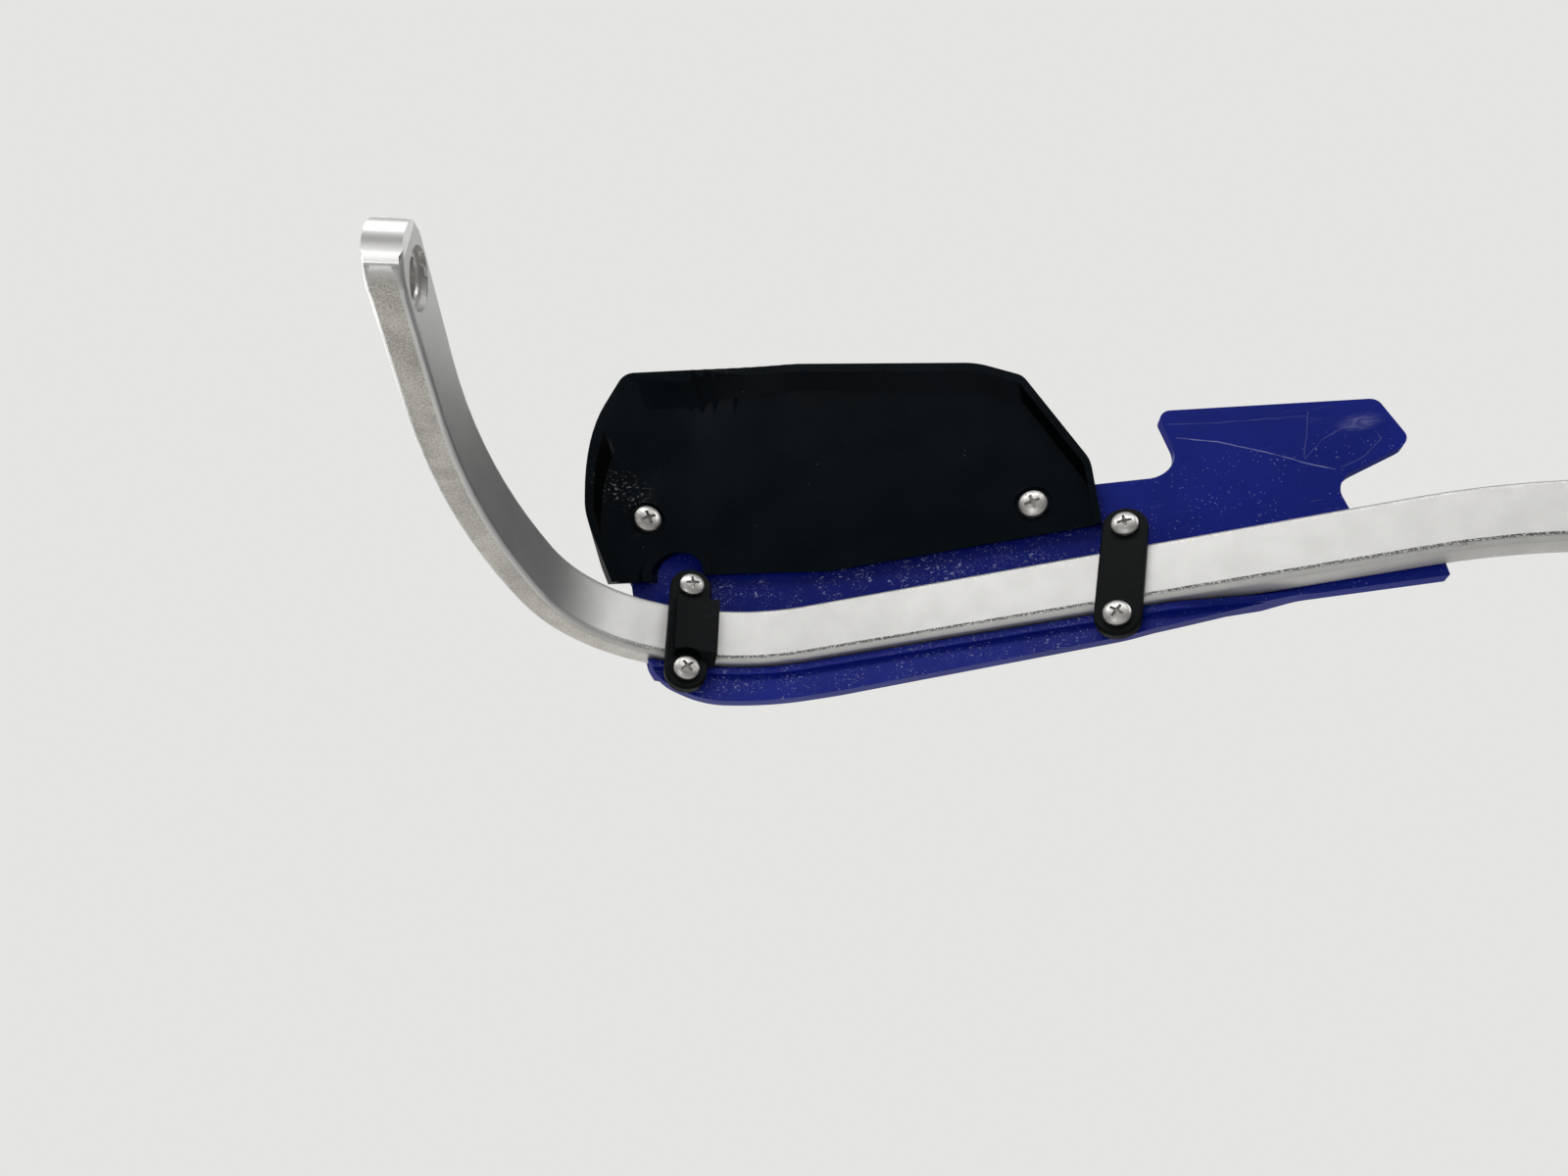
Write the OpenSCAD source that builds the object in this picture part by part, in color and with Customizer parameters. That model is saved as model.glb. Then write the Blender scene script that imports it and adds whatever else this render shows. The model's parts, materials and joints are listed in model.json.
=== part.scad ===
// Wrap-around hand guard for the left end of a motorcycle handlebar.
// X runs inboard along the grip, Y forward, Z up. The origin is the centre of the bar-end
// bore, midway through the leg, so X is the axis of the grip and of the bar-end bolt.

/* [Bar] */
// Height of the bar's section
bar_w = 20; // [18:0.5:24]
// Thickness of the bar's section
bar_t = 8.8; // [7:0.1:10]
// Radius on the bar's long edges
bar_edge = 2.2; // [0.8:0.1:2.8]
// Straight part of the leg, from the bar-end bore to its first bend
leg_len = 32.5; // [22:0.5:60]
// Radius of the easy bend next to the leg
leg_bend_r = 213; // [120:1:300]
// Turn of the easy bend
leg_bend_a = 22.1; // [12:0.1:30]
// Radius of the tight bend at the outer corner
corner_bend_r = 54; // [45:1:80]
// Turn of the tight bend
corner_bend_a = 42.7; // [30:0.1:50]
// Radius of the bend that leads into the run across the hand
run_bend_r = 71; // [66:1:90]
// Turn of the bend that leads into the run
run_bend_a = 46.5; // [44:0.5:55]
// Straight run across the front of the hand
run_len = 183; // [175:1:230]
// Radius of the edgewise drop towards the handlebar clamp
drop_r = 196; // [150:1:300]
// Turn of the edgewise drop
drop_a = 15; // [5:0.5:25]
// Straight tail, from the drop to the clamp bolt's bore
tail_len = 26; // [16:1:60]
// Bore for the clamp bolt at the inner end
clamp_bore_d = 8.5; // [6:0.1:10]

/* [Bar end] */
// Depth that the outer end is turned down below the forging
end_step = 0.6; // [0.3:0.1:1.2]
// Distance from the bore to the centre of the rounded end
end_lead = 4; // [0:0.1:6]
// Distance from that centre to the step where the turning stops
turned_from = 6; // [5:0.1:7.5]
// Length over which the square edges of the turned end run out at the step
run_out = 1.8; // [0.5:0.1:2.5]
// Diameter of the sunk ring round the bore
sink_d = 14.5; // [13:0.1:16]
// Depth of the sunk ring
sink_depth = 1.4; // [0.5:0.1:2.5]
// Outside diameter of the pressed-in steel bush
bush_d = 12; // [10.5:0.1:12.5]
// Bore of the steel bush, for the bar-end bolt
bush_bore_d = 8.4; // [6:0.1:9]
// Chamfer at both mouths of the bush
bush_chamfer = 0.5; // [0.2:0.1:0.8]

/* [Shield] */
// Wall of the moulded shield
shield_t = 3; // [2:0.1:4]
// Play between the front of the bar and the shield
bar_gap = 0.3; // [0.1:0.1:0.6]
// Backward lean of the shield above the bar
shield_lean = 10; // [4:1:14]
// Height above the bar's centre at which the lean starts
lean_start = 12; // [11:0.5:16]
// Turn over which the shield follows the bar round the hand
wrap_a = 40; // [34:1:42]
// Distance from the lower strap screws to the edge of the lip below them
lip_below = 6.2; // [5.5:0.1:9]
// Depth of the inner strip's lower edge below the bar's centre
strip_drop = 12.4; // [12:0.1:16]
// Distance from the bar's centreline to the rider's side of the lip
lip_in = 0; // [-0.5:0.1:2]
// Turn of the shield's moulding direction round the vertical
mould_az = 20; // [15:1:25]
// Top of the inboard wing above the bar's centre
wing_top = 60.6; // [52:0.1:70]
// Thickness of the rib under the bar
rib_t = 2.4; // [1.5:0.1:3]
// Play between the underside of the bar and the rib
rib_gap = 0.6; // [0.2:0.1:1]
// Distance that the rib covers of the bar's underside
rib_cover = 6.2; // [5:0.1:8]
// Diameter of the bosses under the strap screws
boss_d = 8.4; // [7:0.1:9]

/* [Deflector] */
// Wall of the deflector tray
tray_t = 2.5; // [1.8:0.1:3.5]
// Height of the tray's rim above its floor
rim_h = 4.5; // [3:0.1:8]
// Wall of the rim
rim_t = 2.2; // [1.2:0.1:2.5]
// Rise of the tray's moulding direction, which flares the upper rim
draw_rise = 40; // [30:1:45]
// Fall of the tray's lower edge towards the rider
foot_fall = 30; // [20:1:35]
// Diameter of the sunk seats under the deflector screws
seat_d = 12.5; // [11:0.5:16]
// Depth of those seats
seat_depth = 0.6; // [0.3:0.1:1]
// Width of the round-topped notch that clears the outer strap
notch_w = 14.4; // [14.2:0.1:18]
// Height of the raised collar round the notch
collar_h = 1.6; // [0.8:0.1:2.5]
// Width of that collar
collar_w = 2.4; // [1.6:0.1:3]

/* [Straps] */
// Width of both straps
strap_w = 13.6; // [12:0.1:16]
// Thickness of the straps under the screw heads
strap_t = 3; // [2:0.1:4]
// Distance between the two screws of a strap
strap_pitch = 31.6; // [30.8:0.1:34]
// Chamfer round the visible edge of the straps
strap_chamfer = 0.6; // [0.3:0.1:1]
// Distance of the inner strap from the end of the bends
inner_strap_x = 100.2; // [80:0.1:110]
// Lean of the inner strap across the bar
inner_strap_tilt = 12.5; // [0:0.5:15]
// Place of the outer strap, as a turn back along the last bend
outer_strap_a = 32.4; // [26:0.1:36]
// Thickness of the outer strap's raised bridge
bridge_t = 5.6; // [4:0.1:8]
// Length of the raised bridge along its foot
bridge_len = 26; // [22:0.5:28]
// Width of the raised bridge
bridge_w = 13.6; // [8:0.1:14]
// Offset of the raised bridge along the bar
bridge_shift = 2.4; // [0:0.1:2.6]

/* [Screws] */
// Thread of the strap screws
strap_screw_d = 4.2; // [3.5:0.1:4.5]
// Length of the strap screws under the head
strap_screw_len = 10; // [8:0.5:10]
// Head of the strap screws
strap_head_d = 8.2; // [7:0.1:9]
// Thread of the deflector screws
deflector_screw_d = 4.8; // [4:0.1:5.5]
// Length of the deflector screws under the head
deflector_screw_len = 9; // [7:0.5:10]
// Head of the deflector screws
deflector_head_d = 9.4; // [8.5:0.1:10.5]
// Play round each thread
screw_play = 0.1; // [0.05:0.01:0.2]
// Play round each thread in the strap or tray that it passes
pass_play = 0.5; // [0.3:0.1:0.8]

/* [Hidden] */
$fn = 96;

shield_in = bar_t/2 + bar_gap;
lip_drop = strap_pitch/2 + lip_below;
tray_in = shield_in - tray_t;
face = bar_t/2;
rib_edge = shield_in - rib_cover;
outer_strap_u = -run_bend_r*outer_strap_a*PI/180;
wrap_len = run_bend_r*wrap_a*PI/180;
shield_end = 188;
shield_past = 40;
shelf_low = -bar_w/2 - rib_gap - rib_t;
// The lip and the rib run level to here, then move back to the wall
taper_from = 106;
taper_to = 152;
// Places of the deflector screws: distance along the bar, then height
deflector_outer = [-57, 42.3];
deflector_inner = [77.2, 34.3];
head_ratio = 0.31;
boss_floor = 1.2;
tip_play = 0.5;
far = 400;
// Every other stretch of a sweep is this much slimmer all round and laps this far into the next
slim = 0.02;
lap = 0.5;

// Narrowest point of the neck between the band and the wing's inboard top: across, up
wing_neck = [115, 46];
// Shield's outline in the moulding direction: across, up, corner radius
shield_outline = [
  [-58.6, 20, 1.5], [-69, 38, 8], [-58, 62, 12], [8, 68, 60], [62, 57, 20], [84, 39.6, 8],
  [wing_neck[0], 36.4, 7.2], [wing_neck[0], wing_neck[1], 10],
  [wing_neck[0] - (wing_top - wing_neck[1])/4, wing_top, 2.6], [171.4, wing_top - 11.3, 4],
  [177.7, 32.8, 3.6], [156, 24.9, 6.5], [159.8, 10, 7], [176.8, 7, 1.2],
  [176.8, -strip_drop - 0.4, 0.3], [140, 0.8 - strip_drop, 30], [110, 0.2 - (lip_drop + strip_drop)/2.1, 40],
  [93, 3.4 - lip_drop, 60], [10, -lip_drop, 80], [-33, -lip_drop, 40], [-46.4, 5 - lip_drop, 13],
  [-51.2, -9.8, 8], [-57.4, 14, 6]];

// Rim of the deflector from its inboard side over the top to its outer side
rim_line = [
  [97.2, -20, 0], [97.2, 27.9, 6], [80.6, 51.6, 6], [66, 57.5, 40], [-17.8, 71.9, 45],
  [-53.2, 42.6, 16], [-63.9, 19, 60], [-63.9, 1.5, 9], [-45, -25, 0]];
// Lower edge of the deflector, from its inboard side to its outer side
tray_foot = [[110, 19.7, 0], [8, 21.1, 30], [-12, 24.2, 30], [-31, 26.6, 0]];
tray_outer_foot = [[-46, 26.2, 0], [-90, 29.5, 0]];
notch_at = [-40.7, 28.4];

function unit(v) = v/norm(v);
function left_of(d) = [-d[1], d[0]];

// Points of one rounded corner b between its neighbours a and c
function corner(a, b, c, r, n) = r == 0 ? [b] : let(
    u = unit(a - b), w = unit(c - b), half = acos(u*w)/2,
    m = b + unit(u + w)*r/sin(half),
    p = b + u*r/tan(half) - m, q = b + w*r/tan(half) - m,
    from = atan2(p[1], p[0]), turn = (atan2(q[1], q[0]) - from + 540)%360 - 180)
  [for (i = [0:n]) m + r*[cos(from + turn*i/n), sin(from + turn*i/n)]];

// Closed outline with the corner radius in each point's third number
function rounded(pts, n = 8) = [for (i = [0:len(pts) - 1]) let(
    a = pts[(i + len(pts) - 1)%len(pts)], b = pts[i], c = pts[(i + 1)%len(pts)])
  each corner([a[0], a[1]], [b[0], b[1]], [c[0], c[1]], b[2], n)];

// The line moved to its left by t, with its corner radii adjusted
function inset(pts, t) = [for (i = [0:len(pts) - 1]) let(
    p = [pts[i][0], pts[i][1]],
    back = i > 0 ? p - [pts[i - 1][0], pts[i - 1][1]] : [pts[1][0], pts[1][1]] - p,
    on = i < len(pts) - 1 ? [pts[i + 1][0], pts[i + 1][1]] - p : back,
    n1 = left_of(unit(back)), n2 = left_of(unit(on)),
    q = p + (n1 + n2)*t/(1 + n1*n2))
  [q[0], q[1], max(pts[i][2] - t, 0)]];

function rounded_box(w, h, r) = rounded([
  [-w/2, -h/2, r], [w/2, -h/2, r], [w/2, h/2, r], [-w/2, h/2, r]], 4);

// Setback of a surface at height z that leans back above lean_start
function lean_back(z) = max(0, z - lean_start)*tan(shield_lean);

// Stations along the bar. Inside them X points along the bar, Y outwards and Z up.
module at_leg() rotate([0, 0, 90]) children();
module past_bend(r, a) translate([r*sin(a), -r*(1 - cos(a)), 0]) rotate([0, 0, -a]) children();
module past_drop(r, a) translate([r*sin(a), 0, -r*(1 - cos(a))]) rotate([0, a, 0]) children();
module at_run() at_leg() translate([leg_len, 0, 0])
  past_bend(leg_bend_r, leg_bend_a) past_bend(corner_bend_r, corner_bend_a)
  past_bend(run_bend_r, run_bend_a) children();

// Station at a distance u along the shield, negative on its wrapped outer part
module at_shield(u) {
  turn = u >= 0 ? 0 : min(wrap_a, -u*180/PI/run_bend_r);
  rest = u >= 0 ? u : min(0, u + wrap_len);
  translate([0, -run_bend_r, 0]) rotate([0, 0, turn]) translate([rest, run_bend_r, 0]) children();
}

// Point on a leaning surface whose offset at the bar is base. Z then points at the rider.
module on_surface(u, z, base) at_shield(u) translate([0, base - lean_back(z), z])
  rotate([z > lean_start ? 90 + shield_lean : 90, 0, 0]) children();

// Bar section: thickness across, height up. $slim is the stretch's own slimming.
module bar_section() polygon(rounded_box(bar_t - 2*$slim, bar_w - 2*$slim, bar_edge - $slim));
module bar_section_flat() polygon(rounded_box(bar_w - 2*$slim, bar_t - 2*$slim, bar_edge - $slim));

// Straight stretch along X
module stretch(l, before = lap, after = lap) {
  $slim = slim;
  translate([-before, 0, 0]) rotate([90, 0, 90]) linear_extrude(l + before + after) children();
}
// Sweep round the Z axis through an angle that starts at from
module turned(r, from, a, slimmer = false) {
  $slim = slimmer ? slim : 0;
  more = slimmer ? lap/r*180/PI : 0;
  rotate([0, 0, from - more]) rotate_extrude(angle = a + 2*more) translate([r, 0]) children();
}
module bent(r, a, slimmer = false) translate([0, -r, 0]) turned(r, 90 - a, a, slimmer) children();
module dropped(r, a) translate([0, 0, -r]) rotate([90, 0, 0]) turned(r, 90 - a, a) bar_section_flat();

// Wall that follows the run up to a given distance, the wrap and then the tangent past it
module swept(to = shield_end) {
  stretch(to) children();
  translate([0, -run_bend_r, 0]) turned(run_bend_r, 90, wrap_a) children();
  at_shield(-wrap_len - shield_past) stretch(shield_past, before = 0) children();
}

// Prism of an outline whose direction turns by az and rises by el towards the rider
module drawn(az, el) rotate([0, 0, az]) rotate([90 - el, 0, 0])
  translate([0, 0, -far/2]) linear_extrude(far) children();

// Section between two leaning surfaces, from height low to height high
module leaning_slab(front, back, low, high) polygon([
  [back + $slim, low + $slim], [back + $slim, lean_start], [back + $slim - lean_back(high), high],
  [front - $slim - lean_back(high), high], [front - $slim, lean_start], [front - $slim, low + $slim]]);

// Plain rectangle between two offsets from the bar's centreline and two heights
module slab(back, front, low, high) polygon([
  [back + $slim, low + $slim], [front - $slim, low + $slim],
  [front - $slim, high - $slim], [back + $slim, high - $slim]]);

// Disc with a chamfer round one or both faces, on the Z axis
module chamfered_disc(d, h, low, high) rotate_extrude() polygon([
  [0, 0], [d/2 - low, 0], [d/2, low], [d/2, h - high], [d/2 - high, h], [0, h]]);

// Round end of the forging, with the same rounded edges as the bar
module forged_end() rotate([90, 0, 0]) rotate_extrude() polygon(concat([[0, -bar_t/2]],
  [for (p = rounded_box(bar_w, bar_t, bar_edge)) if (p[0] > 0) p], [[0, bar_t/2]]));

// Square-edged stock of the turned end, whose outline narrows as it nears the step
module end_stock() intersection() {
  rotate([90, 0, 0]) cylinder(r = bar_w/2, h = bar_t - 2*slim, center = true);
  linear_extrude(far/4, center = true) polygon([
    [-turned_from - slim, run_out - bar_t/2], [-turned_from - slim, bar_t/2 - run_out],
    [-turned_from - slim - 2*run_out, bar_t/2 + run_out], [-far/8, bar_t/2 + run_out],
    [-far/8, -bar_t/2 - run_out], [-turned_from - slim - 2*run_out, -bar_t/2 - run_out]]);
}

// Outer end of the bar: the forging's round end, turned down as far as the step
module turned_end() difference() {
  union() {
    forged_end();
    end_stock();
  }
  difference() {
    translate([-turned_from - far/8, 0, 0]) cube(far/4, center = true);
    rotate([90, 0, 0]) cylinder(r = bar_w/2 - end_step, h = far, center = true);
  }
}

module bar() color("silver") difference() {
  union() {
    at_leg() {
      translate([-end_lead, 0, 0]) {
        turned_end();
        stretch(leg_len + end_lead, before = 0) bar_section();
      }
      translate([leg_len, 0, 0]) {
        bent(leg_bend_r, leg_bend_a) bar_section();
        past_bend(leg_bend_r, leg_bend_a) {
          bent(corner_bend_r, corner_bend_a, slimmer = true) bar_section();
          past_bend(corner_bend_r, corner_bend_a) bent(run_bend_r, run_bend_a) bar_section();
        }
      }
    }
    at_run() {
      stretch(run_len) bar_section();
      translate([run_len, 0, 0]) {
        dropped(drop_r, drop_a);
        past_drop(drop_r, drop_a) {
          stretch(tail_len, after = 0) bar_section();
          translate([tail_len, 0, 0]) forged_end();
        }
      }
    }
  }
  at_leg() rotate([90, 0, 0]) {
    cylinder(d = bush_d, h = far/4, center = true);
    translate([0, 0, bar_t/2 - sink_depth]) cylinder(d = sink_d, h = far/8);
  }
  at_run() translate([run_len, 0, 0]) past_drop(drop_r, drop_a) translate([tail_len, 0, 0])
    rotate([90, 0, 0]) cylinder(d = clamp_bore_d, h = far/4, center = true);
}

// Steel bush pressed into the bar-end bore, flush outside and sunk inside
module bar_end_bush() color("gainsboro") at_leg() rotate([90, 0, 0])
  translate([0, 0, -bar_t/2]) rotate_extrude() polygon([
    [bush_bore_d/2 + bush_chamfer, 0], [bush_d/2, 0], [bush_d/2, bar_t - sink_depth],
    [bush_bore_d/2 + bush_chamfer, bar_t - sink_depth],
    [bush_bore_d/2, bar_t - sink_depth - bush_chamfer], [bush_bore_d/2, bush_chamfer]]);

// Stations of the strap screws: on the face of the bar, Z towards the rider
module at_outer_strap(side) at_run() at_shield(outer_strap_u)
  translate([0, -face, side*strap_pitch/2]) rotate([90, 0, 0]) children();
module at_inner_strap(side) at_run() translate([inner_strap_x, -face, 0])
  rotate([0, inner_strap_tilt, 0]) translate([0, 0, side*strap_pitch/2]) rotate([90, 0, 0]) children();
module at_all_straps() {
  for (side = [-1, 1]) {
    at_outer_strap(side) children();
    at_inner_strap(side) children();
  }
}
// Stations of the deflector screws, on the floor of the tray, Z towards the rider
module at_deflector_outer() at_run() on_surface(deflector_outer[0], deflector_outer[1], tray_in) children();
module at_deflector_inner() at_run() on_surface(deflector_inner[0], deflector_inner[1], tray_in) children();
module at_deflector_screws() {
  at_deflector_outer() children();
  at_deflector_inner() children();
}

// Thickness of the leaning tray along its screws, and the depth of their pilot holes and bosses
tray_wall = tray_t*cos(shield_lean);
pilot_depth = seat_depth + deflector_screw_len + tip_play;
deflector_boss_h = pilot_depth + boss_floor - tray_wall;

module shield_wall() swept() leaning_slab(shield_in + shield_t, shield_in, shelf_low, 80);

// Shelf under the bar, with an edge that moves back to the wall as it nears the inboard end
module shield_rib() intersection() {
  swept() slab(rib_edge, shield_in + shield_t/2, shelf_low, shelf_low + rib_t);
  linear_extrude(far, center = true) polygon([
    [-far/4, -far/4], [taper_from, rib_edge - 1], [taper_to, shield_in], [taper_to, far/4], [-far/4, far/4]]);
}

// Lip that hangs from the shelf and moves back in the same way
module shield_lip() {
  swept(taper_from - 1) slab(lip_in, lip_in + shield_t, -lip_drop - 4, shelf_low + rib_t/2);
  translate([0, 0, -lip_drop - 4]) linear_extrude(lip_drop + 4 + shelf_low + rib_t/2) polygon([
    [taper_from - 2, lip_in], [taper_from, lip_in], [taper_to, shield_in], [shield_end, shield_in],
    [shield_end, shield_in + shield_t], [taper_to, shield_in + shield_t],
    [taper_from, lip_in + shield_t], [taper_from - 2, lip_in + shield_t]]);
}

module strap_bosses(side, h) {
  at_outer_strap(side) translate([0, 0, -h]) cylinder(d = boss_d, h = h);
  at_inner_strap(side) translate([0, 0, -h]) cylinder(d = boss_d, h = h);
}

module shield() color("mediumblue") difference() {
  intersection() {
    union() {
      at_run() {
        shield_wall();
        shield_rib();
        shield_lip();
      }
      strap_bosses(1, face + shield_in + shield_t/2);
      strap_bosses(-1, face + lip_in + shield_t/2);
      at_deflector_screws() translate([0, 0, -tray_wall - deflector_boss_h])
        cylinder(d = boss_d, h = deflector_boss_h - 1);
    }
    at_run() drawn(mould_az, 0) polygon(rounded(shield_outline));
  }
  at_all_straps() translate([0, 0, strap_t - strap_screw_len - tip_play])
    cylinder(d = strap_screw_d + screw_play, h = strap_screw_len);
  at_deflector_screws() translate([0, 0, -pilot_depth])
    cylinder(d = deflector_screw_d + screw_play, h = pilot_depth);
}

// Prism of the notch, wider all round by grow
module notch(grow = 0) drawn(0, -foot_fall) translate(notch_at) {
  circle(d = notch_w + 2*grow);
  translate([-notch_w/2 - grow, -far/4]) square([notch_w + 2*grow, far/4]);
}

module deflector() color([0.06, 0.06, 0.07]) at_run() difference() {
  intersection() {
    swept() leaning_slab(shield_in, tray_in - rim_h, 2, 118);
    drawn(0, draw_rise) polygon(rounded(rim_line));
    drawn(0, -foot_fall) polygon(rounded(concat(tray_foot, tray_outer_foot, [[-90, far/2, 0], [110, far/2, 0]])));
  }
  difference() {
    intersection() {
      swept() leaning_slab(tray_in, tray_in - rim_h - 10, -2, 124);
      drawn(0, draw_rise) polygon(rounded(inset(rim_line, rim_t)));
    }
    intersection() {
      swept() leaning_slab(tray_in + tray_t/2, tray_in - collar_h, -4, 60);
      notch(collar_w);
    }
  }
  notch();
  for (at = [deflector_outer, deflector_inner]) on_surface(at[0], at[1], tray_in) {
    translate([0, 0, -seat_depth]) cylinder(d = seat_d, h = seat_depth + rim_h);
    cylinder(d = deflector_screw_d + pass_play, h = 4*tray_t, center = true);
  }
}

// Flat plate with round ends between the two screws, chamfered on the rider's side
module strap_plate(len, w, t, foot) {
  for (side = [-1, 1]) translate([0, side*len/2, -foot]) chamfered_disc(w, t + foot, 0, strap_chamfer);
  translate([0, len/2, -foot]) rotate([90, 0, 0]) linear_extrude(len) polygon([
    [-w/2, 0], [w/2, 0], [w/2, t + foot - strap_chamfer], [w/2 - strap_chamfer, t + foot],
    [-w/2 + strap_chamfer, t + foot], [-w/2, t + foot - strap_chamfer]]);
}

module screw_holes() for (side = [-1, 1]) translate([0, side*strap_pitch/2, 0])
  cylinder(d = strap_screw_d + pass_play, h = far/4, center = true);

module inner_strap() color([0.07, 0.07, 0.07]) at_run() translate([inner_strap_x, -face, 0])
  rotate([0, inner_strap_tilt, 0]) rotate([90, 0, 0]) difference() {
    strap_plate(strap_pitch, strap_w, strap_t, 0);
    screw_holes();
  }

// The outer strap's back follows the bend, a hair off it, and its bridge stands up between the screws
module outer_strap() color([0.07, 0.07, 0.07]) at_run() intersection() {
  at_shield(outer_strap_u) translate([0, -face, 0]) rotate([90, 0, 0]) difference() {
    union() {
      strap_plate(strap_pitch, strap_w, strap_t, 1);
      rotate([90, 0, 90]) translate([0, 0, bridge_shift - bridge_w/2]) linear_extrude(bridge_w) polygon([
        [-bridge_len/2, 0], [bridge_len/2, 0], [bridge_len/2 - 3, bridge_t], [3 - bridge_len/2, bridge_t]]);
    }
    screw_holes();
    for (side = [-1, 1]) translate([0, side*strap_pitch/2, strap_t])
      cylinder(d = strap_w - 0.6, h = bridge_t);
  }
  translate([0, -run_bend_r, -far/2]) cylinder(r = run_bend_r - face - slim, h = far, $fn = 360);
}

// Pan-head screw with a cross recess. The head's seat is at Z = 0 and the thread points down.
module cross_screw(d, len, head_d) {
  head_h = head_d*head_ratio;
  slot = head_d*0.11;
  difference() {
    union() {
      rotate_extrude() polygon(concat([[0, 0], [head_d/2 - 0.2, 0], [head_d/2, 0.3], [head_d/2, head_h*0.4]],
        [for (i = [1:6]) [head_d/2*cos(15*i), head_h*(0.4 + 0.6*sin(15*i))]]));
      translate([0, 0, -len + d/4]) cylinder(d = d, h = len - d/4);
      translate([0, 0, -len]) cylinder(d1 = d*0.6, d2 = d, h = d/4);
    }
    for (turn = [0, 90]) rotate([0, 0, turn]) translate([-head_d*0.27, -slot/2, head_h*0.35])
      cube([head_d*0.54, slot, head_h]);
    translate([0, 0, head_h*0.2]) cylinder(d = slot*2, h = head_h);
  }
}

module strap_screw(turn) color("lightgray") translate([0, 0, strap_t]) rotate([0, 0, turn])
  cross_screw(strap_screw_d, strap_screw_len, strap_head_d);
module deflector_screw(turn) color("lightgray") translate([0, 0, -seat_depth]) rotate([0, 0, turn])
  cross_screw(deflector_screw_d, deflector_screw_len, deflector_head_d);

module outer_strap_upper_screw() at_outer_strap(1) strap_screw(8);
module outer_strap_lower_screw() at_outer_strap(-1) strap_screw(40);
module inner_strap_upper_screw() at_inner_strap(1) strap_screw(15);
module inner_strap_lower_screw() at_inner_strap(-1) strap_screw(60);
module deflector_outer_screw() at_deflector_outer() deflector_screw(30);
module deflector_inner_screw() at_deflector_inner() deflector_screw(12);

bar();
bar_end_bush();
shield();
deflector();
outer_strap();
inner_strap();
outer_strap_upper_screw();
outer_strap_lower_screw();
inner_strap_upper_screw();
inner_strap_lower_screw();
deflector_outer_screw();
deflector_inner_screw();
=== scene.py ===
# %% [markdown]
# # A motorcycle hand guard, seen from the rider's side
#
# The guard is a flat forged bar that bends round the left grip, a blue moulded shield on the
# front of it, a black tray that deflects the wind above the hand, and two black straps that
# clamp the shield to the bar. The exact solids come from the packed model. This script gives
# them their finishes, eases the edges of the mouldings and lights them as in a plain studio.
# Nothing on the guard moves, so all of it rides on one body, the root.

# %% The fixed frame
from math import atan2, cos, degrees, radians, sin, sqrt
import bpy
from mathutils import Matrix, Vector
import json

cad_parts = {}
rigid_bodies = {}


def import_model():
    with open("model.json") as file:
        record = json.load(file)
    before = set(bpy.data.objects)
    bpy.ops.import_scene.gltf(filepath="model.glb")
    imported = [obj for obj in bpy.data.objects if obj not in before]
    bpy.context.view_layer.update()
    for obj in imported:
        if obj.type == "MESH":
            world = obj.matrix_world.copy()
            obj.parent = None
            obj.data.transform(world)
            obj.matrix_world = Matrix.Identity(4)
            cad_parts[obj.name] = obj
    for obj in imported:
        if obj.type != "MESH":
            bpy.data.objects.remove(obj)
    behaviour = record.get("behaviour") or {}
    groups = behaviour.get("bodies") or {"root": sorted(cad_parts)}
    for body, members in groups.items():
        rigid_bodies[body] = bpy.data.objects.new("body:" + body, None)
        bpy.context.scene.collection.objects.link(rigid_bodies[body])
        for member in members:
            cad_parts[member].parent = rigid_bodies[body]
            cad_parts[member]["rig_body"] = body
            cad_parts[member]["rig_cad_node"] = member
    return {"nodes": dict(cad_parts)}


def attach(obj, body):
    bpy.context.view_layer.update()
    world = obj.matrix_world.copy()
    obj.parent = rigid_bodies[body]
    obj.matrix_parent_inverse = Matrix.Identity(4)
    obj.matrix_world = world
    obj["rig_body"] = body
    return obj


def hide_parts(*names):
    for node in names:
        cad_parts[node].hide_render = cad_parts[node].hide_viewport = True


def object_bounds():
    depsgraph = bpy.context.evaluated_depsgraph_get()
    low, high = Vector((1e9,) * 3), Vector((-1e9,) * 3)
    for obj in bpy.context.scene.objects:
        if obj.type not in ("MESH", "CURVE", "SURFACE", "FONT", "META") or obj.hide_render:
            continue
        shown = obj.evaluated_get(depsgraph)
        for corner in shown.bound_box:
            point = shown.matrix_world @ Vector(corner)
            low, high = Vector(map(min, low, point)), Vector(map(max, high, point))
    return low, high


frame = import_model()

nodes = frame["nodes"]
cad_low, cad_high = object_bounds()
MM = 0.001
print("nodes:", sorted(nodes))
print("size in mm:", [round(v/MM, 1) for v in cad_high - cad_low])

# %% [markdown]
# The frame has X inboard along the grip, Y forward and Z up, with the origin in the bar-end
# bore. The photograph was taken from behind and below, so the camera stands about 180 mm
# behind the bore and 200 mm below it, and looks forward and up. Its place and angles were
# fitted to the edges of the bar, and a focal length of 26.7 mm on a 36 mm frame is what gives
# the leg its strong foreshortening.

# %% Camera
CAMERA_PLACE = Vector((79.3, -176.4, -200.6))*MM
CAMERA_ANGLES = [radians(a) for a in (124.46, -0.58, -2.52)]
LENS = 26.7
SENSOR_WIDTH = 36
NEAREST_SEEN = 0.01

eye = bpy.data.objects.new("camera", bpy.data.cameras.new("camera"))
bpy.context.collection.objects.link(eye)
eye.location = CAMERA_PLACE
eye.rotation_euler = CAMERA_ANGLES
eye.data.lens = LENS
eye.data.sensor_width = SENSOR_WIDTH
eye.data.clip_start = NEAREST_SEEN
bpy.context.scene.camera = eye
print("camera to bore:", round(CAMERA_PLACE.length/MM), "mm")

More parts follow.
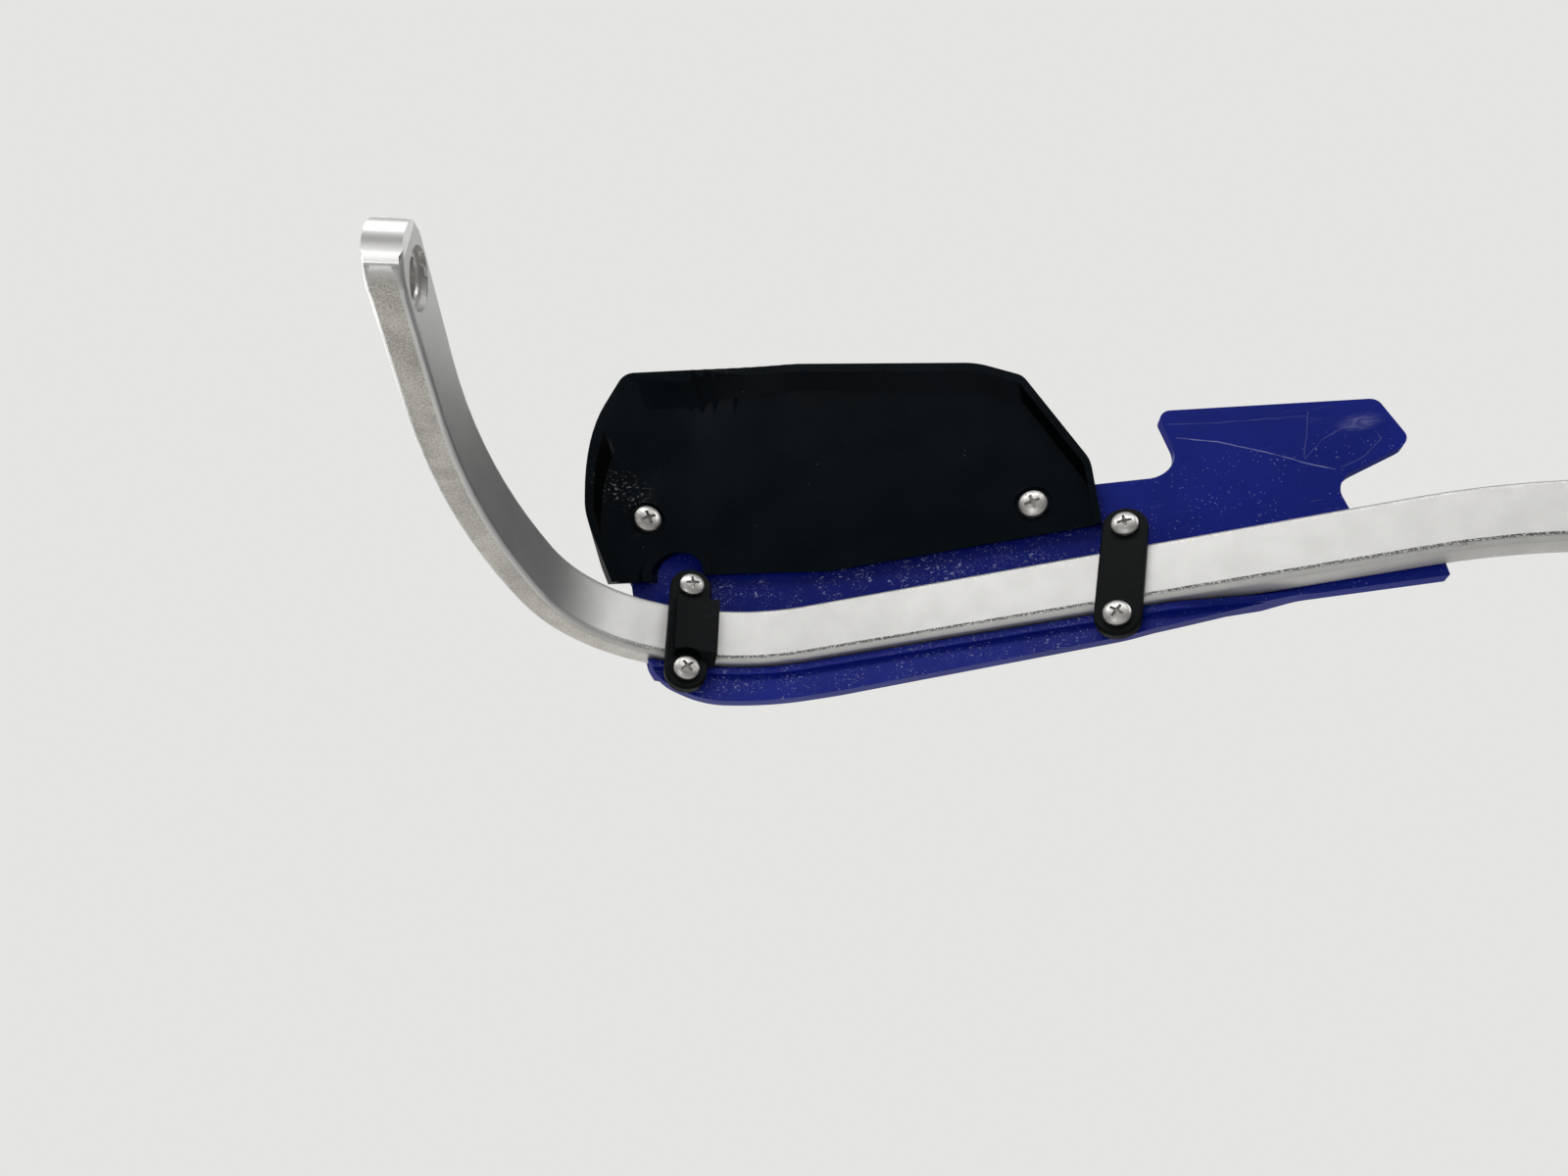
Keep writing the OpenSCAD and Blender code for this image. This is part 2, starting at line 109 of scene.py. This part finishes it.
# %% [markdown]
# The floor and the room have to look pale and still throw little light on the guard, or its
# blacks turn grey. A Light Path node tells the camera's own rays from those that bounce off
# the guard. So one function mixes a bright shader over a dim one for the camera's rays alone:
# wholly for the room, and by three quarters for the floor, which keeps a little of its own
# light and shade.

# %% What only the camera sees
BACKGROUND = (0.93, 0.93, 0.915)
BACKGROUND_STRENGTH = 0.84

def glow(node, strength):
    """Gives a shader node that shines the background's colour, at a strength."""
    node.inputs["Color"].default_value = (*BACKGROUND, 1)
    node.inputs["Strength"].default_value = strength
    return node

def shown_to_camera(tree, dim, bright, share, end):
    """Mixes the bright shader over the dim one by a share, for the camera's rays alone."""
    rays = tree.nodes.new("ShaderNodeLightPath")
    part = tree.nodes.new("ShaderNodeMath")
    part.operation = "MULTIPLY"
    part.inputs[1].default_value = share
    both = tree.nodes.new("ShaderNodeMixShader")
    for source, target in ((rays.outputs["Is Camera Ray"], part.inputs[0]),
                           (part.outputs[0], both.inputs[0]),
                           (dim.outputs[0], both.inputs[1]),
                           (bright.outputs[0], both.inputs[2]),
                           (both.outputs[0], tree.nodes[end].inputs["Surface"])):
        tree.links.new(source, target)

print("background:", [round(BACKGROUND_STRENGTH*v, 3) for v in BACKGROUND])

# %% Floor
FLOOR_PLACE = (0.15, 0, -0.6)
FLOOR_SIZE = 8
FLOOR_COLOUR = (0.68, 0.68, 0.67)
FLOOR_ROUGHNESS = 0.9
FLOOR_WASH = 0.75

def deselect():
    for item in bpy.context.selected_objects:
        item.select_set(False)

deselect()
bpy.ops.mesh.primitive_plane_add(size=FLOOR_SIZE, location=FLOOR_PLACE)
floor = bpy.context.object
floor.name = "floor"
paint = bpy.data.materials.new("pale_floor")
paint.use_nodes = True
matt = paint.node_tree.nodes["Principled BSDF"]
matt.inputs["Base Color"].default_value = (*FLOOR_COLOUR, 1)
matt.inputs["Roughness"].default_value = FLOOR_ROUGHNESS
wash = glow(paint.node_tree.nodes.new("ShaderNodeEmission"), BACKGROUND_STRENGTH)
shown_to_camera(paint.node_tree, matt, wash, FLOOR_WASH, "Material Output")
floor.data.materials.append(paint)
print("floor below the bore:", round(-FLOOR_PLACE[2]/MM), "mm")

# %% Room
ROOM_STRENGTH = 0.24

world = bpy.data.worlds.new("room")
world.use_nodes = True
room = world.node_tree
walls = glow(room.nodes["Background"], ROOM_STRENGTH)
backdrop = glow(room.nodes.new("ShaderNodeBackground"), BACKGROUND_STRENGTH)
shown_to_camera(room, walls, backdrop, 1, "World Output")
bpy.context.scene.world = world
bpy.context.scene.view_settings.view_transform = "Standard"
print("room to background:", round(ROOM_STRENGTH/BACKGROUND_STRENGTH, 2))

# %% [markdown]
# Bare metal has no colour of its own to speak of: it shows what is round it. So the room
# matters as much as the material. One wide soft panel stands high behind the rider's
# shoulder, where the run of the bar mirrors it and turns nearly white. The tray and the shield
# lean back, so they mirror the dim wall under the panel and keep their depth. Four weaker
# panels stand in front, low and high, and one at each side, where the faces of the leg and
# its edges mirror them. A small weak one behind the camera is what the round end mirrors. The
# plain display transform, set with the room, keeps the blacks black and the blue deep.

# %% Soft panels
MIDDLE = (cad_low + cad_high)/2
# The place, width and height of each panel are in metres, and its power is in watts.
PANELS = {
    "key": ((-0.20, -0.76, 1.10), 1.9, 0.55, 10.9),
    "front_low": ((0.15, 0.85, -0.3), 1.4, 0.5, 2.4),
    "front_high": ((0.35, 0.75, 0.9), 0.8, 0.8, 1.7),
    "left": ((-0.85, 0.55, 0.3), 0.6, 0.8, 5),
    "right": ((0.92, -0.40, 0.65), 0.35, 0.6, 2.2),
    "behind_left": ((-0.34, -0.75, -0.33), 0.35, 0.45, 1.4)}

def soft_panel(name, place, width, height, watts):
    """A rectangular area light at a place, turned to face the middle of the guard."""
    lamp = bpy.data.objects.new(name, bpy.data.lights.new(name, "AREA"))
    bpy.context.collection.objects.link(lamp)
    lamp.location = place
    lamp.rotation_euler = (MIDDLE - Vector(place)).to_track_quat("-Z", "Y").to_euler()
    lamp.data.shape = "RECTANGLE"
    lamp.data.size = width
    lamp.data.size_y = height
    lamp.data.energy = watts

for name, panel in PANELS.items():
    soft_panel(name, *panel)
print("panels:", len(PANELS), "with", round(sum(p[-1] for p in PANELS.values()), 1), "W")

# %% [markdown]
# A finish is built from noise, masks and mixes. Written as nodes one by one, even a small sum
# takes many lines, so one class wraps a socket and lets masks be added and multiplied as
# numbers.

# %% Shader sums
class Mask:
    """A shader socket that takes part in sums, with one Math node for each step."""
    def __init__(self, finish, socket):
        self.finish, self.socket = finish, socket

    def math(self, operation, first, second):
        return self.finish.node("ShaderNodeMath", {"operation": operation},
                                {0: first, 1: second})

    def __add__(self, other): return self.math("ADD", self, other)
    def __radd__(self, other): return self.math("ADD", other, self)
    def __sub__(self, other): return self.math("SUBTRACT", self, other)
    def __rsub__(self, other): return self.math("SUBTRACT", other, self)
    def __mul__(self, other): return self.math("MULTIPLY", self, other)
    def __rmul__(self, other): return self.math("MULTIPLY", other, self)
    def __or__(self, other): return self.math("MAXIMUM", self, other)
    def __abs__(self): return self.math("ABSOLUTE", self, 0)

    def step(self, low, high):
        """0 below low and 1 above high, smooth between; with low above high it falls."""
        return self.finish.node("ShaderNodeMapRange", {"interpolation_type": "SMOOTHSTEP"},
                                {"Value": self, "From Min": low, "From Max": high})

    def at_least(self, least):
        """The mask squeezed into the range from least to 1."""
        return least + self*(1 - least)

# %% [markdown]
# Every other node comes from one method, which takes the node's type, its settings and the
# values or links of its sockets. Patterns are placed in millimetres, so each size is given as
# it is on the real guard. A Mapping node in its Texture mode moves and turns a pattern as if
# it were an object.

# %% Finishes made of nodes
X, Y, Z = 0, 1, 2
MIX_FIRST, MIX_SECOND, MIX_RESULT = 6, 7, 2
SPECK_CORE = 0.5

class Finish:
    """A material with its Principled shader, and places measured in millimetres."""
    def __init__(self, name, origin=(0, 0, 0), turn=0):
        self.material = bpy.data.materials.new(name)
        self.material.use_nodes = True
        self.tree = self.material.node_tree
        self.shader = self.tree.nodes["Principled BSDF"]
        here = self.node("ShaderNodeTexCoord", {}, {}, "Object")
        self.place = self.node("ShaderNodeMapping", {"vector_type": "TEXTURE"},
                               {"Vector": here, "Location": origin, "Rotation": (0, 0, turn),
                                "Scale": (MM, MM, MM)})

    def node(self, kind, settings, sockets, output=0):
        made = self.tree.nodes.new(kind)
        for setting, value in settings.items():
            setattr(made, setting, value)
        for key, value in sockets.items():
            self.feed(made.inputs[key], value)
        return Mask(self, made.outputs[output])

    def feed(self, socket, value):
        """Links a mask to a socket, or sets the socket to a plain value."""
        if isinstance(value, Mask):
            self.tree.links.new(value.socket, socket)
        else:
            socket.default_value = value

    def set(self, **sockets):
        """Feeds sockets of the shader, named with _ for a space."""
        for name, value in sockets.items():
            self.feed(self.shader.inputs[name.replace("_", " ")], value)

    def normal(self):
        """The direction that the surface faces, in the frame's axes."""
        return self.node("ShaderNodeTexCoord", {}, {}, "Normal")

    def axis(self, vector, index):
        return self.node("ShaderNodeSeparateXYZ", {}, {0: vector}, index)

    def vector(self, operation, *values, output=0):
        return self.node("ShaderNodeVectorMath", {"operation": operation},
                         dict(enumerate(values)), output)

    def noise(self, size, detail=3, stretch=(1, 1, 1)):
        """Noise with features of a size in millimetres, drawn out by stretch."""
        place = self.node("ShaderNodeMapping", {},
                          {"Vector": self.place, "Scale": [1/(size*s) for s in stretch]})
        return self.node("ShaderNodeTexNoise", {},
                         {"Vector": place, "Scale": 1, "Detail": detail})

    def specks(self, spacing, radius, seed):
        """Scattered round specks, one to a cell, of which seed picks the pattern."""
        place = self.node("ShaderNodeMapping", {},
                          {"Vector": self.place, "Location": (seed, seed, seed),
                           "Scale": [1/spacing]*3})
        near = self.node("ShaderNodeTexVoronoi", {}, {"Vector": place, "Scale": 1}, "Distance")
        return near.step(radius/spacing, SPECK_CORE*radius/spacing)

    def blend(self, mask, first, second):
        """The first colour where the mask is 0 and the second where it is 1."""
        first, second = [c if isinstance(c, Mask) else (*c, 1) for c in (first, second)]
        return self.node("ShaderNodeMix", {"data_type": "RGBA"},
                         {0: mask, MIX_FIRST: first, MIX_SECOND: second}, MIX_RESULT)

    def bump(self, height, distance):
        """Raises the surface by up to a distance in millimetres where height is 1."""
        return self.node("ShaderNodeBump", {},
                         {"Height": height, "Distance": distance*MM, "Strength": 1.0})

print("helpers:", [word for word in vars(Finish) if not word.startswith("_")])

# %% [markdown]
# The bar was forged, tumbled and blasted, so its skin is an even pale grey with a grain of a
# few tenths of a millimetre. Three things break the evenness. The narrow faces of the leg keep
# the brown-grey skin of the forging, the rounded edges of the run carry a dark line of fine
# pits, and the outer end was turned smooth and bright. The faces are told apart by the upward
# part of the normal, which stays the same round the bends because they lie in the level plane.

# %% Alloy of the bar
TURNED_Y = -10
TURNED_BLUR = 0.1
LEG_X, RUN_X = 20, 75
BLASTED_GREYS = (0.66, 0.655, 0.64), (0.71, 0.705, 0.69)
FORGED_BROWNS = (0.40, 0.375, 0.345), (0.68, 0.65, 0.61)
PIT_COLOUR = (0.08, 0.077, 0.075)
TURNED_COLOUR = (0.82, 0.815, 0.80)
NARROW_FACES = 0.86, 0.99
EDGE_FROM_WIDE_FACE = 0.06, 0.20
EDGE_TO_NARROW_FACE = 0.68, 0.45
FACING_DOWN = 0.1, -0.1
SKIN_STRENGTH, PIT_STRENGTH = 0.85, 0.85

def alloy_finish():
    alloy = Finish("blasted_alloy")
    rise = alloy.axis(alloy.normal(), Z)
    up = abs(rise)
    turned = alloy.axis(alloy.place, Y).step(TURNED_Y + TURNED_BLUR, TURNED_Y - TURNED_BLUR)
    on_run = alloy.axis(alloy.place, X).step(LEG_X, RUN_X)
    grain = alloy.noise(0.35, detail=2)
    skin = up.step(*NARROW_FACES)*(1 - turned)*(1 - on_run*0.75)
    below = rise.step(*FACING_DOWN)
    pits = up.step(*EDGE_FROM_WIDE_FACE)*up.step(*EDGE_TO_NARROW_FACE)
    pits = pits*alloy.noise(0.55).step(0.36, 0.54)
    pits = pits*on_run.at_least(0.12)*below.at_least(0.3)*(1 - turned)
    base = alloy.blend(alloy.noise(9).step(0.3, 0.7), *BLASTED_GREYS)
    mottle = alloy.noise(0.5)*0.65 + alloy.noise(7)*0.35
    brown = alloy.blend(mottle.step(0.38, 0.62), *FORGED_BROWNS)
    colour = alloy.blend(skin*SKIN_STRENGTH, base, brown)
    colour = alloy.blend(pits*PIT_STRENGTH, colour, PIT_COLOUR)
    colour = alloy.blend(turned, colour, TURNED_COLOUR)
    height = grain*(1 - 0.8*turned)*0.6 + skin*mottle*0.8 - pits*0.8
    alloy.set(Base_Color=colour, Metallic=1.0,
              Roughness=0.46 + grain*0.12 + skin*0.1 - turned*0.1,
              Normal=alloy.bump(height, distance=0.05))
    return alloy.material

alloy = alloy_finish()
print("alloy nodes:", len(alloy.node_tree.nodes))

# %% [markdown]
# The screws and the bush are plain steel with a satin face, dulled by handling. A fine noise
# spreads the gloss, and a larger one leaves darker, tarnished patches.

# %% Steel of the screws and the bush
CLEAN_STEEL = (0.62, 0.61, 0.59)
TARNISHED_STEEL = (0.33, 0.31, 0.28)
TARNISH_STRENGTH = 0.4

def steel_finish():
    steel = Finish("dulled_steel")
    tarnish = steel.noise(2.2, detail=5).step(0.46, 0.68)
    grain = steel.noise(0.25, detail=2)
    steel.set(Base_Color=steel.blend(tarnish*TARNISH_STRENGTH, CLEAN_STEEL, TARNISHED_STEEL),
              Metallic=1.0, Roughness=0.34 + tarnish*0.14 + grain*0.08,
              Normal=steel.bump(grain, distance=0.02))
    return steel.material

steel = steel_finish()
print("steel nodes:", len(steel.node_tree.nodes))

# %% [markdown]
# Nearly all the detail of the mouldings lies along the run of the bar, which stands at an
# angle to the frame. So a mark is placed by its distance along the run and its height, both in
# millimetres, and it shows only on faces that look at the rider. A scratch is the set of
# points near a line between two such places.

# %% Places along the run
RUN_ORIGIN = (0.098711, 0.143088, 0)
RUN_TURN = radians(-21.3)
RIDER = (sin(RUN_TURN), -cos(RUN_TURN), 0)
FACING_RIDER = 0.3, 0.6
PATCH_CORE = 0.2

def rider_side(finish):
    """1 on faces that look at the rider, 0 on those that look ahead or along the edge."""
    towards = finish.vector("DOT_PRODUCT", finish.normal(), RIDER, output=1)
    return towards.step(*FACING_RIDER)

def patch(finish, place, spread):
    """A soft oval patch round a place on the face."""
    offset = finish.vector("SUBTRACT", finish.place, (place[0], 0, place[1]))
    scaled = finish.vector("MULTIPLY", offset, (1/spread[0], 0, 1/spread[1]))
    return finish.vector("LENGTH", scaled, output=1).step(1, PATCH_CORE)

print("towards the rider:", [round(v, 3) for v in RIDER])

# %% Scratches
WAVER = 1.2
WAVES = 0.12

def scratch(finish, flat, start, end, width):
    """1 on the line between two places on the face, 0 at half the width from it."""
    along = Vector((end[0] - start[0], 0, end[1] - start[1]))
    offset = finish.vector("SUBTRACT", flat, (start[0], 0, start[1]))
    share = finish.vector("DOT_PRODUCT", offset, along/along.length_squared, output=1)
    share = finish.node("ShaderNodeClamp", {}, {0: share})
    foot = finish.vector("SCALE", along)
    finish.feed(foot.socket.node.inputs["Scale"], share)
    gap = finish.vector("DISTANCE", offset, foot, output=1)
    return gap.step(width/2, 0)

def scored(finish, places, width):
    """A scratch through several places, which wavers by part of a millimetre."""
    wave = finish.node("ShaderNodeTexNoise", {}, {"Vector": finish.place, "Scale": WAVES},
                       "Color")
    shaken = finish.vector("MULTIPLY_ADD", wave, (WAVER, 0, WAVER), finish.place)
    flat = finish.vector("MULTIPLY", shaken, (1, 0, 1))
    mask = scratch(finish, flat, places[0], places[1], width)
    for start, end in zip(places[1:], places[2:]):
        mask = mask | scratch(finish, flat, start, end, width)
    return mask

print("a scratch wavers once in", round(1/WAVES, 1), "mm")

# %% [markdown]
# The shield is a deep ultramarine plastic with a soft gloss. Rubbing against other parts has
# left one long pale scratch and several faint ones on the wing, a scuffed oval near its tip,
# and white nicks and dust along the band and the lip, where they lie open to stones. The band
# is painted a shade darker along the bar, as painted shade where it lies recessed under the
# tray.

# %% Marks on the shield
LONG_SCRATCH = [(125, 50), (136.3, 46.2), (150.3, 38.6), (158.6, 33.5), (167.2, 29.1)]
FAINT_SCRATCHES = [
    [(122.8, 55.6), (139.5, 52.2), (163.4, 48.7)],
    [(163.9, 50), (159.7, 35)],
    [(159.6, 34.3), (166.1, 39.6), (174.1, 43.2)],
    [(180.6, 39.2), (181.5, 36.2), (176, 31.8), (169.5, 29.6)]]
SCUFFED_OVAL, OVAL_SPREAD = (176.5, 42.5), (8, 3.6)
LONG_WIDTH, LONG_STRENGTH = 0.5, 0.55
FAINT_WIDTH, FAINT_STRENGTH = 0.45, 0.16

def scratches(blue):
    """The scratches on the wing, worn faint in places."""
    marks = scored(blue, LONG_SCRATCH, LONG_WIDTH)*LONG_STRENGTH
    for places in FAINT_SCRATCHES:
        marks = marks | scored(blue, places, FAINT_WIDTH)*FAINT_STRENGTH
    return marks*blue.noise(5).step(0.35, 0.6).at_least(0.3)

def scuffed_oval(blue):
    """The oval near the wing's tip, rubbed in short streaks."""
    streaks = blue.noise(0.6, stretch=(4, 4, 1)).step(0.42, 0.62)
    return patch(blue, SCUFFED_OVAL, OVAL_SPREAD)*streaks.at_least(0.3)

def hairlines(blue):
    """Fine level lines, in groups."""
    lines = blue.noise(0.5, stretch=(14, 14, 1)).step(0.60, 0.72)
    return lines*blue.noise(14, detail=2).step(0.5, 0.7)

def nicks(blue):
    """White nicks of two sizes, in groups."""
    large = blue.noise(0.9, detail=2, stretch=(1.6, 1.6, 1)).step(0.62, 0.70)
    small = blue.noise(0.45, detail=2).step(0.64, 0.70)
    return (large | small)*blue.noise(9).step(0.40, 0.58)

print("scratches:", 1 + len(FAINT_SCRATCHES))

# %% Blue plastic of the shield
BLUES = (0.003, 0.011, 0.195), (0.005, 0.015, 0.245)
# Painted shade: the darker blue of the band, where it lies recessed along the bar.
SHADED_BAND_BLUE = (0.001, 0.004, 0.075)
SCUFFED_BLUE = (0.50, 0.53, 0.78)
BLUE_GLOSS = 0.17
NICKED_AND_SHADED_BELOW, NICKED_AND_SHADED_BLUR = 26, 2
WING_X, WING_BLUR = 106, 6
DUSTY_BELOW = 46, 36
BAND_SHADE_ABOVE = 4, 8
OVAL_STRENGTH, HAIR_STRENGTH, DUST_STRENGTH, NICK_STRENGTH = 0.22, 0.06, 0.4, 0.6
BAND_SHADE_STRENGTH = 0.4

def blue_finish():
    blue = Finish("blue_plastic", RUN_ORIGIN, RUN_TURN)
    height = blue.axis(blue.place, Z)
    # The band and the lip, below the wing; this mask places the nicks and the band's painted
    # shade.
    low = height.step(NICKED_AND_SHADED_BELOW + NICKED_AND_SHADED_BLUR, NICKED_AND_SHADED_BELOW - NICKED_AND_SHADED_BLUR)
    low = low*blue.axis(blue.place, X).step(WING_X + WING_BLUR, WING_X - WING_BLUR)
    facing = rider_side(blue)
    marks = scratches(blue)
    dust = blue.specks(spacing=1.3, radius=0.24, seed=3)*blue.noise(10).step(0.40, 0.58)
    dust = dust*height.step(*DUSTY_BELOW)
    pale = marks | scuffed_oval(blue)*OVAL_STRENGTH
    fine = hairlines(blue)*HAIR_STRENGTH | dust*DUST_STRENGTH | nicks(blue)*low*NICK_STRENGTH
    pale = (pale | fine)*facing
    cloud = blue.noise(30)
    body = blue.blend(cloud.step(0.3, 0.7), *BLUES)
    # Painted shade: the band is painted darker along the bar, where it lies recessed under the
    # tray.
    band_shade = low*height.step(*BAND_SHADE_ABOVE)*facing
    body = blue.blend(band_shade*BAND_SHADE_STRENGTH, body, SHADED_BAND_BLUE)
    pores = blue.noise(0.8)
    blue.set(Base_Color=blue.blend(pale, body, SCUFFED_BLUE),
             Specular_IOR_Level=BLUE_GLOSS, Roughness=0.33 + pores*0.08 + pale*0.3,
             Normal=blue.bump(pores*0.4 + cloud*2 - marks, distance=0.05))
    return blue.material

blue = blue_finish()
print("blue nodes:", len(blue.node_tree.nodes))

# %% [markdown]
# The deflector tray is black, with a trace of green and blue in the fine film of dirt on its
# floor. Its walls, which face away from the rider, are painted a deeper black than the floor,
# as painted shade. It is scuffed grey near its outer screw, where it has been dragged along
# the ground.

# %% Black plastic of the tray
SCUFFED_CORNER, CORNER_SPREAD = (-55, 51), (10, 9)
DUSTY_BLACKS = (0.0006, 0.0026, 0.0040), (0.0014, 0.0042, 0.0072)
# Painted shade: the deeper black of the walls, which face away from the rider.
SHADED_WALL_BLACK = (0.0002, 0.0004, 0.0005)
SCUFFED_BLACK = (0.45, 0.46, 0.48)
BLACK_GLOSS = 0.09
SCUFF_STRENGTH, SPECK_STRENGTH = 0.4, 0.5

def tray_finish():
    tray = Finish("black_tray_plastic", RUN_ORIGIN, RUN_TURN)
    scuffs = tray.noise(0.8, detail=4, stretch=(5, 1, 1)).step(0.57, 0.70)
    scuffs = patch(tray, SCUFFED_CORNER, CORNER_SPREAD)*scuffs
    dust = tray.specks(spacing=5.3, radius=0.2, seed=5)*tray.noise(11, detail=2).step(0.5, 0.62)
    facing = rider_side(tray)
    pale = (scuffs*SCUFF_STRENGTH | dust*SPECK_STRENGTH)*facing
    film = tray.noise(22, detail=4)
    body = tray.blend(film.step(0.3, 0.75), *DUSTY_BLACKS)
    # Painted shade: faces that don't look at the rider, the walls, are painted a deeper black.
    body = tray.blend(facing, SHADED_WALL_BLACK, body)
    pores = tray.noise(0.7)
    tray.set(Base_Color=tray.blend(pale, body, SCUFFED_BLACK),
             Specular_IOR_Level=BLACK_GLOSS, Roughness=0.22 + film*0.12 + pale*0.3,
             Normal=tray.bump(pores*0.3 + film*1.5, distance=0.06))
    return tray.material

tray = tray_finish()
print("tray nodes:", len(tray.node_tree.nodes))

# %% [markdown]
# The straps are a stiffer black nylon, matt, with a pebbled grain and a little wear.

# %% Black nylon of the straps
NYLON_BLACK = (0.0018, 0.0028, 0.0034)
WORN_NYLON = (0.022, 0.023, 0.025)
WEAR_STRENGTH = 0.25

def strap_finish():
    strap = Finish("black_strap_plastic", RUN_ORIGIN, RUN_TURN)
    grain = strap.noise(0.45, detail=2)
    wear = strap.noise(2.5, detail=4).step(0.56, 0.72)
    strap.set(Base_Color=strap.blend(wear*WEAR_STRENGTH, NYLON_BLACK, WORN_NYLON),
              Specular_IOR_Level=BLACK_GLOSS, Roughness=0.42 + grain*0.16,
              Normal=strap.bump(grain, distance=0.03))
    return strap.material

strap = strap_finish()
print("strap nodes:", len(strap.node_tree.nodes))

# %% [markdown]
# The shield, the tray and the straps follow the bar round its bends. Their solids are cut into
# long thin triangles there, and light would catch each one by itself and draw faint upright
# streaks. The path of the bar is three arcs in the level plane, so the true outward direction
# at any place follows from the centre of its arc. Radii are in millimetres and turns in
# degrees. The path's turn is its direction from X, and its outer side is square to that.

# %% Outward directions along the bends
LEG_LENGTH = 32.5
LEG_TURN = 90
SQUARE = 90
BENDS = [(213, 22.1), (54, 42.7), (71, 46.5)]

def outward(turn):
    """Unit vector to the outer side of the path where it has a turn, in the level plane."""
    return Vector((-sin(radians(turn)), cos(radians(turn))))

def bend_centres():
    """Centres of the bends in the level plane, with the turns at which each starts and ends."""
    place, turn, found = Vector((0, LEG_LENGTH)), LEG_TURN, []
    for radius, angle in BENDS:
        centre = place - outward(turn)*radius
        found.append((centre, turn, turn - angle))
        turn -= angle
        place = centre + outward(turn)*radius
    return found

CENTRES = bend_centres()

def path_turn(x, y):
    """Turn of the bar's path beside a place in millimetres, in degrees."""
    for centre, start, end in CENTRES:
        offset = Vector((x, y)) - centre
        turn = degrees(atan2(offset.y, offset.x)) - SQUARE
        if turn > end:
            break
    return min(max(turn, end), start)

print("run turned by", round(CENTRES[-1][2], 2), "degrees")

# %% [markdown]
# Each corner normal that points nearly level, and within a few degrees of straight across the
# bar, is turned to point exactly across it. Its rise comes from its own corner, or from the
# whole face where that is large, so a leaning wall keeps its lean. The shape stays as it is.
# Only its shading changes.

# %% Normals that follow the bends
WITHIN_DEGREES = 9
LARGE_FACE = 3*MM*MM
STEEP = 0.8

def true_to_bends(mesh):
    """Turns each normal that points nearly across the bar to point exactly across it."""
    normals = [Vector(c.vector) for c in mesh.corner_normals]
    turned = 0
    for face in mesh.polygons:
        for i in face.loop_indices:
            place = mesh.vertices[mesh.loops[i].vertex_index].co/MM
            level = Vector((normals[i].x, normals[i].y))
            if level.length < STEEP:
                continue
            across = outward(path_turn(place.x, place.y))
            side = 1 if level.dot(across) > 0 else -1
            if degrees(level.angle(across*side)) < WITHIN_DEGREES:
                rise = face.normal.z if face.area > LARGE_FACE else normals[i].z
                flat = across*side*sqrt(1 - rise*rise)
                normals[i] = Vector((flat.x, flat.y, rise))
                turned += 1
    mesh.normals_split_custom_set(normals)
    print(mesh.name, "corner normals set across the bar:", turned, "of", len(normals))

# %% [markdown]
# A mould leaves no knife edge. The solids have their true outlines but sharp edges, so each
# moulding is copied, the copy's triangles are merged into whole faces, and a Bevel modifier
# rounds every edge that turns by more than a set angle. The copy then stands for its node.
# The forged bar has its round edges already, so its copy is merged and smoothed only. The
# tray's upper wall meets its floor at a shallow angle, so the tray is smoothed up to a smaller
# angle than the rest, and the crease stays crisp.

# %% Eased mouldings
MERGED_WITHIN = 0.04*MM
FLAT_WITHIN = radians(0.6)
ROUNDED_ABOVE = radians(38)
FACE_WEIGHT = 90

def merged_copy(node):
    """A copy of a CAD node with its triangles merged into whole faces."""
    deselect()
    source = nodes[node]
    source.select_set(True)
    bpy.context.view_layer.objects.active = source
    bpy.ops.object.duplicate()
    piece = bpy.context.object
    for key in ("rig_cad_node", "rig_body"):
        del piece[key]
    bpy.ops.object.parent_clear(type="CLEAR_KEEP_TRANSFORM")
    piece.name = node + "_eased"
    piece.data.name = piece.name
    bpy.ops.object.mode_set(mode="EDIT")
    bpy.ops.mesh.select_all(action="SELECT")
    bpy.ops.mesh.remove_doubles(threshold=MERGED_WITHIN)
    bpy.ops.mesh.dissolve_limited(angle_limit=FLAT_WITHIN)
    bpy.ops.object.mode_set(mode="OBJECT")
    return piece

def eased(node, radius, steps=3, smooth=34):
    """A copy that stands for a CAD node, its edges rounded by a radius in millimetres."""
    piece = merged_copy(node)
    before = len(piece.data.polygons)
    if radius:
        rounding = piece.modifiers.new("rounding", "BEVEL")
        rounding.width = radius*MM
        rounding.segments = steps
        rounding.limit_method = "ANGLE"
        rounding.angle_limit = ROUNDED_ABOVE
        bpy.ops.object.modifier_apply(modifier=rounding.name)
    bpy.ops.object.shade_smooth_by_angle(angle=radians(smooth))
    flatness = piece.modifiers.new("flatness", "WEIGHTED_NORMAL")
    flatness.weight = FACE_WEIGHT
    flatness.keep_sharp = True
    bpy.ops.object.modifier_apply(modifier=flatness.name)
    true_to_bends(piece.data)
    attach(piece, "root")
    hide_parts(node)
    print(piece.name, "faces", before, "to", len(piece.data.polygons))
    return piece

# %% [markdown]
# Each piece now gets its finish. The mouldings' edges are about as round as a mould leaves
# them: widest on the shield, finer on the tray, and finest on the straps. The bush and the
# screws look right as they are, so they keep their packed shapes and only get their steel.

# %% Finishes on their pieces
def coat(piece, material):
    piece.data.materials.clear()
    piece.data.materials.append(material)

coat(eased("shield", radius=1.0), blue)
coat(eased("deflector", radius=0.5, steps=4, smooth=26), tray)
for name in ("outer_strap", "inner_strap"):
    coat(eased(name, radius=0.25, steps=2), strap)
coat(eased("bar", radius=0), alloy)

steel_nodes = ["bar_end_bush"] + [name for name in sorted(nodes) if name.endswith("screw")]
for name in steel_nodes:
    coat(nodes[name], steel)
print("steel pieces:", len(steel_nodes))

# %% [markdown] Nothing more is added to the scene.
# The visual model has to stay inside the packed model's box.

# %% The end
import json
